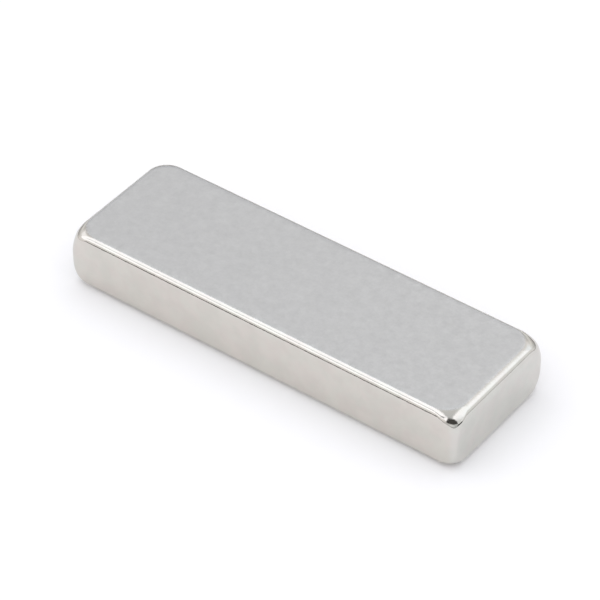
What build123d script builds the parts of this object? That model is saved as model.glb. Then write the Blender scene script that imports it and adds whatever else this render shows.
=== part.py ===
from build123d import *
from math import cos, pi, sin
import os

# Block magnet: one sintered block, ground flat on its two pole faces, tumbled and plated.
# Millimetres. +Z is the magnetised direction and the origin is the middle of the lower pole face.

# Driving dimensions
length = 25.0
width = 8.0
thickness = 3.6

# Round along the rim of each pole face
rim_radius = 0.4

# Tumbling wears the eight corners far more than the standing edges between them. In plan, a
# standing edge has a small radius half way up, which grows with the height towards a pole face:
# with its third power, so the wear gathers at the corners.
standing_edge_radius = 0.3
corner_radius = 1.6
corner_gather = 3

# Plan sections that describe the standing edges and each rim
side_sections = 9
rim_sections = 7

half_thickness = thickness / 2
rim_start = half_thickness - rim_radius


def plan_radius(height):
    """Radius of a standing edge in plan, at a height above or below the middle of the block."""
    reach = abs(height) / half_thickness
    return standing_edge_radius + (corner_radius - standing_edge_radius) * reach**corner_gather


def plan_section(height, inset):
    """Outline of the block at a height from its middle, drawn in by inset from its flat sides."""
    outline = RectangleRounded(length - 2 * inset, width - 2 * inset, plan_radius(height) - inset)
    return Plane.XY.offset(half_thickness + height) * outline


def side_band():
    """Flat sides and barrel-shaped standing edges, between the two rims."""
    steps = [2 * index / (side_sections - 1) - 1 for index in range(side_sections)]
    return loft([plan_section(step * rim_start, 0) for step in steps])


def rounded_rim(side):
    """Rounded rim and its flat pole face, the upper one for side 1 and the lower for side -1."""
    sections = []
    for index in range(rim_sections):
        angle = pi / 2 * index / (rim_sections - 1)
        height = rim_start + rim_radius * sin(angle)
        inset = rim_radius * (1 - cos(angle))
        sections.append(plan_section(side * height, inset))
    return loft(sections)


os.makedirs("parts", exist_ok=True)

block_magnet = rounded_rim(-1) + side_band() + rounded_rim(1)
block_magnet.label = "block_magnet"
export_step(block_magnet, "parts/block_magnet.step")
print("block_magnet", round(block_magnet.volume, 2), "mm3")
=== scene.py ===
import math

import bmesh
import bpy
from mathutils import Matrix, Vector


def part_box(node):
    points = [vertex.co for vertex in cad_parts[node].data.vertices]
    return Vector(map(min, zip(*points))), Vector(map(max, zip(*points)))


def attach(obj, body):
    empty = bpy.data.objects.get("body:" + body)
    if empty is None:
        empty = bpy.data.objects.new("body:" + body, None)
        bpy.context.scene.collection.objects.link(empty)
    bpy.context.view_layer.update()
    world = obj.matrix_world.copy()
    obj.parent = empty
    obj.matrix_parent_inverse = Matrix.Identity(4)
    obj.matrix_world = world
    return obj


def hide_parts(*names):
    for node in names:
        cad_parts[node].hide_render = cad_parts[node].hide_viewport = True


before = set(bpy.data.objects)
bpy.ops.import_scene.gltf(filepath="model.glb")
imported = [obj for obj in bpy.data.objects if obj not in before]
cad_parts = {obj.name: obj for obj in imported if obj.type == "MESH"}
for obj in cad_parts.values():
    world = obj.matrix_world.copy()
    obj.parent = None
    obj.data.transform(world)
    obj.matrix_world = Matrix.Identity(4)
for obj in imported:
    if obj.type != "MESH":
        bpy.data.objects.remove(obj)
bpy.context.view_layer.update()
lowCorner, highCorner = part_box("block_magnet")
size = highCorner - lowCorner
middle = (lowCorner + highCorner) / 2
mm = 0.001
print("frame: the block is", [round(side / mm, 2) for side in size], "mm")


# Shader wiring: a Wire is one socket, and an expression on wires adds its nodes
class Wire:
    def __init__(self, tree, socket):
        self.tree = tree
        self.socket = socket

    def node(self, kind, settings=None, values=None, output=0):
        return makeNode(self.tree, kind, settings, values, output)

    def maths(self, operation, *values):
        return self.node("ShaderNodeMath", {"operation": operation}, dict(enumerate(values)))

    def __add__(self, other):
        return self.maths("ADD", self, other)

    def __sub__(self, other):
        return self.maths("SUBTRACT", self, other)

    def __rsub__(self, other):
        return self.maths("SUBTRACT", other, self)

    def __mul__(self, other):
        return self.maths("MULTIPLY", self, other)

    def __truediv__(self, other):
        return self.maths("DIVIDE", self, other)

    def __neg__(self):
        return self.maths("MULTIPLY", self, -1)

    def __abs__(self):
        return self.maths("ABSOLUTE", self)

    __radd__ = __add__
    __rmul__ = __mul__

    def larger(self, other):
        return self.maths("MAXIMUM", self, other)

    # 0 below low, 1 above high, with a soft step between them
    def step(self, low, high):
        settings = {"interpolation_type": "SMOOTHSTEP"}
        return self.node("ShaderNodeMapRange", settings, {"Value": self, "From Min": low, "From Max": high})

    # 0 before a place and 1 beyond it
    def past(self, place, soft):
        return self.step(place - soft, place + soft)

    # 1 from low to high and 0 outside
    def between(self, low, high, soft):
        return self.past(low, soft) * (1 - self.past(high, soft))

    # first where this wire is 0, second where it is 1
    def mix(self, first, second, kind="RGBA"):
        return self.node("ShaderNodeMix", {"data_type": kind}, {"Factor": self, "A": first, "B": second})

    # A colour made brighter or darker by this wire
    def dim(self, colour):
        return self.node("ShaderNodeVectorMath", {"operation": "SCALE"}, {0: colour, "Scale": self})

    def split(self):
        return [self.node("ShaderNodeSeparateXYZ", None, {"Vector": self}, axis) for axis in range(3)]


# Inputs and the output are given by name or by number. An output's number counts those in use.
def makeNode(tree, kind, settings=None, values=None, output=0):
    node = tree.nodes.new(kind)
    for name, value in (settings or {}).items():
        setattr(node, name, value)
    for name, value in (values or {}).items():
        sockets = node.inputs if isinstance(name, int) else inUse(node.inputs)
        socket = sockets[name]
        if isinstance(value, Wire):
            tree.links.new(value.socket, socket)
        else:
            socket.default_value = value
    if isinstance(output, str):
        return Wire(tree, node.outputs[output])
    return Wire(tree, [socket for socket in node.outputs if socket.enabled][output])


# The sockets that a node's settings leave in use, by name, with the first of each name
def inUse(sockets):
    return {socket.name: socket for socket in reversed(sockets) if socket.enabled}


# 1 for the rays that show the surroundings: from the camera, off metal and through glass
def seenRays(tree):
    names = ("Is Camera Ray", "Is Glossy Ray", "Is Transmission Ray")
    camera, glossy, through = (makeNode(tree, "ShaderNodeLightPath", output=name) for name in names)
    return camera.larger(glossy).larger(through)


# Camera, at the photograph's angle
view = {
    "azimuth": 36.67,  # degrees round from the front, towards the near end
    "elevation": 41.18,
    "distance": 173.3 * mm,
    "lens": 197.7,  # millimetres, like the sensor's width
    "sensor": 36,
    "nearest": 1 * mm,
    "farthest": 5,
    "aimSide": -0.13 * mm,  # how far the picture's middle lies from the block's
    "aimUp": 0.46 * mm,
}

turn = math.radians(view["azimuth"])
rise = math.radians(view["elevation"])
towardsCamera = Vector((math.sin(turn) * math.cos(rise), -math.cos(turn) * math.cos(rise), math.sin(rise)))
rightwards = Vector((math.cos(turn), math.sin(turn), 0))
upwards = towardsCamera.cross(rightwards)


def makeCamera():
    data = bpy.data.cameras.new("camera")
    data.lens = view["lens"]
    data.sensor_width = view["sensor"]
    data.clip_start = view["nearest"]
    data.clip_end = view["farthest"]
    camera = bpy.data.objects.new("camera", data)
    aim = middle + rightwards * view["aimSide"] + upwards * view["aimUp"]
    camera.location = aim + towardsCamera * view["distance"]
    camera.rotation_mode = "QUATERNION"
    camera.rotation_quaternion = (-towardsCamera).to_track_quat("-Z", "Y")
    bpy.context.scene.collection.objects.link(camera)
    bpy.context.scene.camera = camera
    print("camera: lens", view["lens"], "mm")


# The studio that the metal mirrors. Places are on a ceiling one unit above the block: across is to
# the right of the camera's line and away is away from the camera. A pair of numbers is where a soft
# edge starts and ends, and three are a band's two edges and how soft they are.
overhead = {
    "backdrop": (1.0, 1.0, 1.0, 1),
    "lowest": 0.01,  # the ceiling's places stay finite down to this height of a direction
    # Grey card behind the block, which the pole face mirrors
    "cardLeft": (0.701, 0.692, 0.687, 1),
    "cardRight": (0.945, 0.931, 0.920, 1),
    "cardLow": (0.595, 0.61, 0.635, 1),
    "cardStart": (0.45, 0.75),
    "cardSides": (0.8, 1.6),
    "cardTurnsRight": (-0.6, 0.6),
    "cardTurnsLow": (1.3, 1.9),
    # Gap between the two softboxes
    "gapFar": (0.795, 0.817, 0.828, 1),
    "gapNear": (0.71, 0.742, 0.763, 1),
    "gapAcross": (-0.5, 0.5, 0.1),
    "gapAway": (-0.9, 0.9, 0.1),
    "gapTurnsFar": (-0.45, 0.35),
    # Reflectors beside the card
    "wings": [
        {"colour": (1.344, 1.376, 1.419, 1), "across": (-1.9, -0.8, 0.25), "away": (0.4, 1.3, 0.25)},
        {"colour": (1.25, 1.31, 1.39, 1), "across": (0.9, 2.4, 0.35), "away": (0.45, 1.3, 0.25)},
    ],
    # A softbox on each side: each edge's place, its slant where it has one, and how soft it is
    "softboxes": [
        {"side": -1, "colour": (1.59, 1.63, 1.71, 1), "inner": 0.17, "innerSlant": -0.15, "outer": 2.5,
         "outerSoft": 0.3, "far": 0.25, "farSlant": -0.33, "farSoft": 0.07, "near": -1.1},
        {"side": 1, "colour": (1.50, 1.53, 1.60, 1), "inner": 0.3, "innerSlant": -0.2, "outer": 2.4,
         "outerSoft": 0.9, "far": 0.37, "farSlant": -0.08, "farSoft": 0.15, "near": -1.3},
    ],
    "softboxSoft": 0.07,
}


def addOverhead(across, away):
    look = overhead
    cardColour = across.step(*look["cardTurnsRight"]).mix(look["cardLeft"], look["cardRight"])
    cardColour = away.step(*look["cardTurnsLow"]).mix(cardColour, look["cardLow"])
    card = away.step(*look["cardStart"]) * (1 - abs(across).step(*look["cardSides"]))
    colour = card.mix(look["backdrop"], cardColour)
    gap = across.between(*look["gapAcross"]) * away.between(*look["gapAway"])
    gapColour = away.step(*look["gapTurnsFar"]).mix(look["gapNear"], look["gapFar"])
    colour = gap.mix(colour, gapColour)
    for wing in look["wings"]:
        mask = across.between(*wing["across"]) * away.between(*wing["away"])
        colour = mask.mix(colour, wing["colour"])
    soft = look["softboxSoft"]
    for box in look["softboxes"]:
        outward = across * box["side"]
        mask = (outward + away * box["innerSlant"]).past(box["inner"], soft)
        mask = mask * (1 - outward.past(box["outer"], box["outerSoft"]))
        mask = mask * (1 - (away + outward * box["farSlant"]).past(box["far"], box["farSoft"]))
        mask = mask * away.past(box["near"], soft)
        colour = mask.mix(colour, box["colour"])
    return colour


# The camera's side of the studio
nearSide = {
    # Slanting seam across the left softbox, wider and darker towards the camera
    "seamFar": (0.645, 0.666, 0.688, 1),
    "seamNear": (0.591, 0.602, 0.613, 1),
    "seamSlant": (0.8, 0.6),  # the way across it, as shares of across and away
    "seamPlace": -0.86,
    "seamEdge": (0, 0.14),
    "seamWidens": 0.1,
    "seamTurnsFar": (-0.6, -0.1),
    "seamNearEnd": (-0.8, -0.65),
    "seamFarEnd": (0.1, 0.3),
    "seamRightEnd": (-0.5, -0.35),
    # Dimmer stretch under the right softbox
    "underRight": (0.96, 0.97, 0.98, 1),
    "underRightLeft": (0.3, 0.6),
    "underRightRight": (1.6, 2.4),
    "underRightTop": (-1.0, -0.1),
    # Thin dark streak beside the gap
    "streak": (0.344, 0.355, 0.365, 1),
    "streakSlant": (0.505, -0.863),  # the way across it, as above
    "streakPlace": 0.33,
    "streakEdge": (0, 0.1),
    "streakAcross": (-0.8, -0.22, 0.1),
    # Dark wedge where the camera stands, which makes the spot on the near corner
    "wedge": (0.075, 0.075, 0.073, 1),
    "wedgeLeftSlant": -0.6,
    "wedgeLeft": (0.17, 0.35),
    "wedgeRightSlant": 1.0,
    "wedgeRight": (-0.25, -0.09),
    "wedgeNearEnd": (-2.5, -1.9),
    "wedgeFarEnd": (-0.62, -0.38),
    # Low wall on the camera's side, and a paler panel before it. Their edges go by direction: how far
    # it points to the camera, and how far up.
    "wall": (0.666, 0.677, 0.688, 1),
    "wallSides": (0.72, 0.88),
    "wallTop": (0.3, 0.5),
    "panel": (0.96, 0.98, 1.0, 1),
    "panelSides": (0.91, 0.97),
    "panelUp": (0.13, 0.32, 0.03),
}


def addNearSide(colour, across, away, flatAway, up):
    look = nearSide
    near = 1 - away.step(*look["seamTurnsFar"])
    distance = abs(across * look["seamSlant"][0] + away * look["seamSlant"][1] - look["seamPlace"])
    seam = 1 - (distance - near * look["seamWidens"]).step(*look["seamEdge"])
    seam = seam * away.step(*look["seamNearEnd"]) * (1 - away.step(*look["seamFarEnd"]))
    seam = seam * (1 - across.step(*look["seamRightEnd"]))
    colour = seam.mix(colour, near.mix(look["seamFar"], look["seamNear"]))
    under = across.step(*look["underRightLeft"]) * (1 - across.step(*look["underRightRight"]))
    under = under * (1 - away.step(*look["underRightTop"]))
    colour = under.mix(colour, look["underRight"])
    distance = abs(across * look["streakSlant"][0] + away * look["streakSlant"][1] - look["streakPlace"])
    streak = (1 - distance.step(*look["streakEdge"])) * across.between(*look["streakAcross"])
    colour = streak.mix(colour, look["streak"])
    wedge = (across + away * look["wedgeLeftSlant"]).step(*look["wedgeLeft"])
    wedge = wedge * (1 - (across + away * look["wedgeRightSlant"]).step(*look["wedgeRight"]))
    wedge = wedge * away.step(*look["wedgeNearEnd"]) * (1 - away.step(*look["wedgeFarEnd"]))
    colour = wedge.mix(colour, look["wedge"])
    towards = -flatAway
    wall = towards.step(*look["wallSides"]) * (1 - up.step(*look["wallTop"]))
    colour = wall.mix(colour, look["wall"])
    panel = towards.step(*look["panelSides"]) * up.between(*look["panelUp"])
    return panel.mix(colour, look["panel"])


# Dark strip where the walls meet the floor. The rims mirror it as the dark line under each highlight.
horizon = {
    "colour": (0.06, 0.06, 0.06, 1),
    "height": 0.095,
    "soft": 0.03,
    # It stands higher between the camera and the right
    "rise": 0.16,
    "riseLeft": (0.3, 0.5),
    "riseRight": (0.85, 0.97),
    "riseFar": (-0.3, 0.0),
    # How dark it is each way: beside the camera, where it fades towards it, behind, right, elsewhere
    "besideCamera": -0.6,
    "besideEdge": (0.2, 0.38),
    "fadesTowards": (0.72, 0.86),
    "fade": 0.85,
    "behind": (0.5, 0.9),
    "behindStrength": 0.7,
    "right": (0.6, 0.95),
    "rightStrength": 0.3,
    "elsewhere": 0.15,
    # Shade in the two corners behind
    "corners": (0.45, 0.85, 0.1),
    "cornersStart": (0.3, 0.5),
    "cornersTop": (0.2, 0.34),
    "cornersStrength": 0.35,
}


def addHorizon(colour, flatAcross, flatAway, up):
    look = horizon
    corners = abs(flatAcross).between(*look["corners"]) * flatAway.step(*look["cornersStart"])
    corners = corners * (1 - up.step(*look["cornersTop"])) * look["cornersStrength"]
    colour = corners.mix(colour, look["colour"])
    rising = flatAcross.step(*look["riseLeft"]) * (1 - flatAcross.step(*look["riseRight"]))
    rising = rising * (1 - flatAway.step(*look["riseFar"]))
    top = rising * look["rise"] + look["height"]
    below = 1 - (up - top).past(0, look["soft"])
    strength = 1 - abs(flatAway - look["besideCamera"]).step(*look["besideEdge"])
    strength = strength * (1 - (-flatAway).step(*look["fadesTowards"]) * look["fade"])
    strength = strength.larger(flatAway.step(*look["behind"]) * look["behindStrength"])
    strength = strength.larger(flatAcross.step(*look["right"]) * look["rightStrength"])
    strength = strength.larger(look["elsewhere"])
    return (below * strength).mix(colour, look["colour"])


# What lights the floor, and with it the shadow: pale walls and a brighter ceiling, a little dimmer
# behind the block and to its right
floorLight = {
    "walls": (0.60, 0.60, 0.617, 1),
    "ceiling": (1.38, 1.38, 1.428, 1),
    "wallsEnd": (0.25, 0.9),
    "dimmerAcross": -0.12,
    "dimmerAway": -0.16,
    "level": 0.935,
}


def addFloorLight(flatAcross, flatAway, up):
    look = floorLight
    light = up.step(*look["wallsEnd"]).mix(look["walls"], look["ceiling"])
    return (flatAcross * look["dimmerAcross"] + flatAway * look["dimmerAway"] + look["level"]).dim(light)


def makeStudio():
    world = bpy.data.worlds.new("studio")
    bpy.context.scene.world = world
    world.use_nodes = True
    tree = world.node_tree
    tree.nodes.clear()
    direction = makeNode(tree, "ShaderNodeTexCoord", output="Generated")
    values = {"Vector": direction, "Angle": -turn}
    facing = direction.node("ShaderNodeVectorRotate", {"rotation_type": "Z_AXIS"}, values)
    flatAcross, flatAway, up = facing.split()
    height = up.larger(overhead["lowest"])
    across = flatAcross / height
    away = flatAway / height
    mirrored = addOverhead(across, away)
    mirrored = addNearSide(mirrored, across, away, flatAway, up)
    mirrored = addHorizon(mirrored, flatAcross, flatAway, up)
    light = addFloorLight(flatAcross, flatAway, up)
    colour = seenRays(tree).mix(light, mirrored)
    camera = makeNode(tree, "ShaderNodeLightPath", output="Is Camera Ray")
    colour = camera.mix(colour, overhead["backdrop"])
    background = makeNode(tree, "ShaderNodeBackground", None, {"Color": colour})
    end = tree.nodes.new("ShaderNodeOutputWorld")
    tree.links.new(background.socket, end.inputs["Surface"])
    print("studio:", len(overhead["softboxes"]), "softboxes,", len(tree.nodes), "nodes")


# White floor. The light that it throws back is a little weaker than it looks.
floorLook = {
    "radius": 120 * mm,
    "segments": 96,
    "lit": (0.72, 0.72, 0.72, 1),
    "seen": (1.0, 1.0, 1.0, 1),
    "lift": 0.02,
}


def makeFloor():
    mesh = bmesh.new()
    bmesh.ops.create_circle(mesh, cap_ends=True, segments=floorLook["segments"], radius=floorLook["radius"])
    data = bpy.data.meshes.new("floor")
    mesh.to_mesh(data)
    mesh.free()
    floor = bpy.data.objects.new("floor", data)
    bpy.context.scene.collection.objects.link(floor)
    material = bpy.data.materials.new("floor")
    material.use_nodes = True
    tree = material.node_tree
    tree.nodes.clear()
    seen = seenRays(tree)
    colour = seen.mix(floorLook["lit"], floorLook["seen"])
    matt = makeNode(tree, "ShaderNodeBsdfDiffuse", None, {"Color": colour})
    glow = makeNode(tree, "ShaderNodeEmission", None, {"Strength": seen * floorLook["lift"]})
    both = makeNode(tree, "ShaderNodeAddShader", None, {0: matt, 1: glow})
    end = tree.nodes.new("ShaderNodeOutputMaterial")
    tree.links.new(both.socket, end.inputs["Surface"])
    data.materials.append(material)
    print("floor: radius", floorLook["radius"] / mm, "mm")


# Nickel plating: a mirror with soft clouds on the sides and rims, satin on the ground pole faces
nickelLook = {
    "side": (0.635, 0.609, 0.568, 1),
    "end": (0.629, 0.62, 0.588, 1),
    "endFrom": (0.5 * mm, 0.1 * mm),  # in from the end faces
    "ground": (0.694, 0.693, 0.694),
    "groundFrom": (0.05 * mm, 0.005 * mm),  # in from the pole faces
    "groundWander": 0.03 * mm,
    "pinkTint": (1.012, 0.992, 0.99, 1),
    "greenTint": (0.994, 1.006, 0.994, 1),
    "tintEdge": (0.38, 0.62),
    "cloudShare": 0.65,
    "shadeEdge": (0.3, 0.7),
    "shadeDepth": 0.045,
    "shadeLow": 0.975,
    # Grain of the ground faces, stronger near their border and towards the near end
    "faceLevel": 0.995,
    "faceClouds": 0.03,
    "faceGrain": 0.26,
    "borderGrain": 0.12,
    "borderFrom": (0.95 * mm, 0.5 * mm),
    "nearEndGrain": 0.084,
    "nearEndFrom": (-5 * mm, 10 * mm),  # from the middle
    "speckSize": 0.35 * mm,
    "speckEdge": (0.05, 0.13),
    "speckPlaces": (0.5, 0.65),
    "speckDepth": 0.06,
    # Roughness of the sides and rims, and of the ground faces
    "mirrorRoughness": 0.08,
    "mirrorSpread": 0.08,
    "satinRoughness": 0.33,
    "satinSpread": 0.05,
    # Orange peel of the plating, strongest on the rims
    "peelDepth": 0.004 * mm,
    "peelOnSides": 0.15,
    "rimFrom": (0.65 * mm, 0.4 * mm),  # in from the pole faces
    "grainDepth": 0.006 * mm,
}

# Noise patterns of the plating: size and shift in millimetres, then detail and roughness
nickelNoise = {
    "wander": (0.2, 71, 2.0, 0.5),
    "clouds": (1.1, 0, 2.0, 0.5),
    "patches": (0.45, 7, 2.0, 0.5),
    "shade": (0.88, 31, 2.0, 0.5),
    "grain": (0.4, 3, 4.0, 0.7),
    "specks": (0.8, 19, 2.0, 0.5),
    "faceClouds": (1.8, 11, 2.0, 0.5),
    "mirror": (0.66, 43, 2.0, 0.5),
    "satin": (0.45, 53, 2.0, 0.5),
    "peel": (0.16, 61, 1.5, 0.5),
}


def makeNickel():
    material = bpy.data.materials.new("nickel_plating")
    material.use_nodes = True
    tree = material.node_tree
    tree.nodes.clear()
    look = nickelLook
    place = makeNode(tree, "ShaderNodeTexCoord", output="Object")
    x, y, z = place.split()

    def noise(name):
        featureSize, shift, detail, roughness = nickelNoise[name]
        offset = (shift * mm, 0, shift * mm)
        moved = place.node("ShaderNodeVectorMath", {"operation": "ADD"}, {0: place, 1: offset})
        values = {"Vector": moved, "Scale": 1 / (featureSize * mm), "Detail": detail, "Roughness": roughness}
        return makeNode(tree, "ShaderNodeTexNoise", {"normalize": True}, values)

    # Above 0 outside the block and below 0 inside, from its ends, long sides and pole faces
    pastEnd = abs(x - middle.x) - size.x / 2
    pastSide = abs(y - middle.y) - size.y / 2
    pastPole = abs(z - middle.z) - size.z / 2

    def within(distance, edges):
        return distance.step(-edges[0], -edges[1])

    wander = (noise("wander") - 0.5) * look["groundWander"]
    ground = within(pastPole + wander, look["groundFrom"])

    colour = within(pastEnd, look["endFrom"]).mix(look["side"], look["end"])
    cloud = noise("clouds") * look["cloudShare"] + noise("patches") * (1 - look["cloudShare"])
    tint = cloud.step(*look["tintEdge"]).mix(look["pinkTint"], look["greenTint"])
    tinted = makeNode(tree, "ShaderNodeMix", {"data_type": "RGBA", "blend_type": "MULTIPLY"},
                      {"Factor": 1.0, "A": colour, "B": tint})
    shade = noise("shade").step(*look["shadeEdge"]) * look["shadeDepth"] + look["shadeLow"]
    sides = shade.dim(tinted)

    grain = noise("grain")
    border = within(pastEnd.larger(pastSide), look["borderFrom"])
    nearEnd = (x - middle.x).step(*look["nearEndFrom"])
    grainStrength = border * look["borderGrain"] + nearEnd * look["nearEndGrain"] + look["faceGrain"]
    cells = makeNode(tree, "ShaderNodeTexVoronoi", {"feature": "F1"},
                     {"Vector": place, "Scale": 1 / look["speckSize"]}, "Distance")
    specks = (1 - cells.step(*look["speckEdge"])) * noise("specks").step(*look["speckPlaces"])
    face = (noise("faceClouds") - 0.5) * look["faceClouds"] + (grain - 0.5) * grainStrength
    face = face + specks * look["speckDepth"] + look["faceLevel"]
    colour = ground.mix(sides, face.dim(look["ground"]))

    mirror = (noise("mirror") - 0.5) * look["mirrorSpread"] + look["mirrorRoughness"]
    satin = (noise("satin") - 0.5) * look["satinSpread"] + look["satinRoughness"]
    roughness = ground.mix(mirror, satin, "FLOAT")

    onRim = within(pastPole, look["rimFrom"]) * (1 - look["peelOnSides"]) + look["peelOnSides"]
    peel = noise("peel") * look["peelDepth"] * (1 - ground) * onRim
    relief = peel + grain * look["grainDepth"] * ground
    bump = makeNode(tree, "ShaderNodeBump", None, {"Strength": 1.0, "Distance": 1.0, "Height": relief})

    values = {"Base Color": colour, "Metallic": 1.0, "Roughness": roughness, "Normal": bump}
    surface = makeNode(tree, "ShaderNodeBsdfPrincipled", None, values)
    end = tree.nodes.new("ShaderNodeOutputMaterial")
    tree.links.new(surface.socket, end.inputs["Surface"])
    print("nickel plating:", len(tree.nodes), "nodes")
    return material


# The block takes its size from the frame. Tumbling rounds its rims unevenly and wears its eight
# corners most: in plan, a standing edge's radius grows from half way up to the pole faces.
block = {
    "rim": 0.39 * mm,  # round of the long sides' rims, next to the pole face
    "rimAtSide": 0.55 * mm,  # and where it runs into the side
    "rimTurn": 35,  # degrees, where one goes over into the other
    "dubWidth": 0.2 * mm,  # how far inside its rim a pole face starts to fall off
    "dubAngle": 7,  # degrees, its slope where the rim starts
    "rimBelowFront": 0.68 * mm,
    "rimAtFarEnd": 0.42 * mm,
    "rimAtNearEnd": 0.58 * mm,
    "rimBelowNearEnd": 0.5 * mm,
    "standingEdge": 0.3 * mm,  # radius in plan, half way up
    "corner": 1.6 * mm,  # and at the pole faces
    "gather": 3,  # power of the height that it grows with
    "cornerSteps": 32,
    "dubSteps": 8,
    "rimSteps": 24,
    "sideSteps": 18,
}


# One outline of the block, drawn as a face: its height, how far it is drawn in at the front, the
# back, the far end and the near end, and its corner radius
def addOutline(mesh, height, insets, radius):
    front, back, farEnd, nearEnd = insets
    made = bmesh.ops.create_grid(mesh, x_segments=1, y_segments=1, size=0.5)
    corners = made["verts"]
    shift = Vector((farEnd - nearEnd, front - back, 0)) / 2
    bmesh.ops.scale(mesh, vec=(size.x - farEnd - nearEnd, size.y - front - back, 1), verts=corners)
    bmesh.ops.translate(mesh, vec=Vector((middle.x, middle.y, height)) + shift, verts=corners)
    bmesh.ops.bevel(mesh, geom=corners, offset=radius - sum(insets) / 4, offset_type="OFFSET",
                    segments=block["cornerSteps"], profile=0.5, affect="VERTICES", material=-1)
    mesh.faces.ensure_lookup_table()
    return mesh.faces[-1]


# How far a circular rim is drawn in at a height above or below the middle
def circularInset(height, radius):
    depth = min(size.z / 2 - abs(height), radius)
    return radius - math.sqrt(radius ** 2 - (radius - depth) ** 2)


# Heights above the block's middle and how far the long sides are drawn in there, from the middle up
def upperLevels():
    slope = math.radians(block["dubAngle"])
    change = math.radians(block["rimTurn"])
    sideRound, rimRound = block["rimAtSide"], block["rim"]
    dubDepth = block["dubWidth"] * math.tan(slope) / 2
    rimLevels = []
    for index in range(block["rimSteps"] + 1):
        angle = (math.pi / 2 - slope) * index / block["rimSteps"]
        lower = min(angle, change)
        upper = max(angle, change)
        climb = sideRound * math.sin(lower) + rimRound * (math.sin(upper) - math.sin(change))
        inset = sideRound * (1 - math.cos(lower)) + rimRound * (math.cos(change) - math.cos(upper))
        rimLevels.append((climb, inset))
    rimHeight, rimInset = rimLevels[-1]
    start = size.z / 2 - dubDepth - rimHeight
    levels = [(start * index / block["sideSteps"], 0) for index in range(block["sideSteps"])]
    levels += [(start + climb, inset) for climb, inset in rimLevels]
    for index in range(1, block["dubSteps"] + 1):
        left = 1 - index / block["dubSteps"]
        levels.append((size.z / 2 - dubDepth * left ** 2, rimInset + block["dubWidth"] * (1 - left)))
    return levels


# How far the four sides are drawn in at a height, where the long sides' own rim draws them in by inset
def sideInsets(height, inset):
    farEnd = circularInset(height, block["rimAtFarEnd"])
    if height > 0:
        return inset, inset, farEnd, circularInset(height, block["rimAtNearEnd"])
    front = circularInset(height, block["rimBelowFront"])
    return front, inset, farEnd, circularInset(height, block["rimBelowNearEnd"])


def makeBlock(material):
    mesh = bmesh.new()
    upper = upperLevels()
    lower = [(-height, inset) for height, inset in reversed(upper[1:])]
    outlines = []
    for height, inset in lower + upper:
        reach = abs(height) / (size.z / 2)
        radius = block["standingEdge"] + (block["corner"] - block["standingEdge"]) * reach ** block["gather"]
        outlines.append(addOutline(mesh, middle.z + height, sideInsets(height, inset), radius))
    rings = [list(face.edges) for face in outlines]
    bmesh.ops.delete(mesh, geom=outlines[1:-1], context="FACES_ONLY")
    for under, above in zip(rings, rings[1:]):
        bmesh.ops.bridge_loops(mesh, edges=under + above)
    bmesh.ops.recalc_face_normals(mesh, faces=mesh.faces)
    for face in mesh.faces:
        face.smooth = True
    data = bpy.data.meshes.new("plated_block")
    mesh.to_mesh(data)
    mesh.free()
    data.materials.append(material)
    piece = bpy.data.objects.new("plated_block", data)
    bpy.context.scene.collection.objects.link(piece)
    weights = piece.modifiers.new("flat faces stay flat", "WEIGHTED_NORMAL")
    weights.mode = "FACE_AREA"
    weights.weight = 50
    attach(piece, "root")
    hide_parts("block_magnet")
    print("block:", len(data.polygons), "faces,", len(data.vertices), "vertices")


bpy.context.scene.view_settings.view_transform = "Standard"
makeCamera()
makeStudio()
makeFloor()
makeBlock(makeNickel())
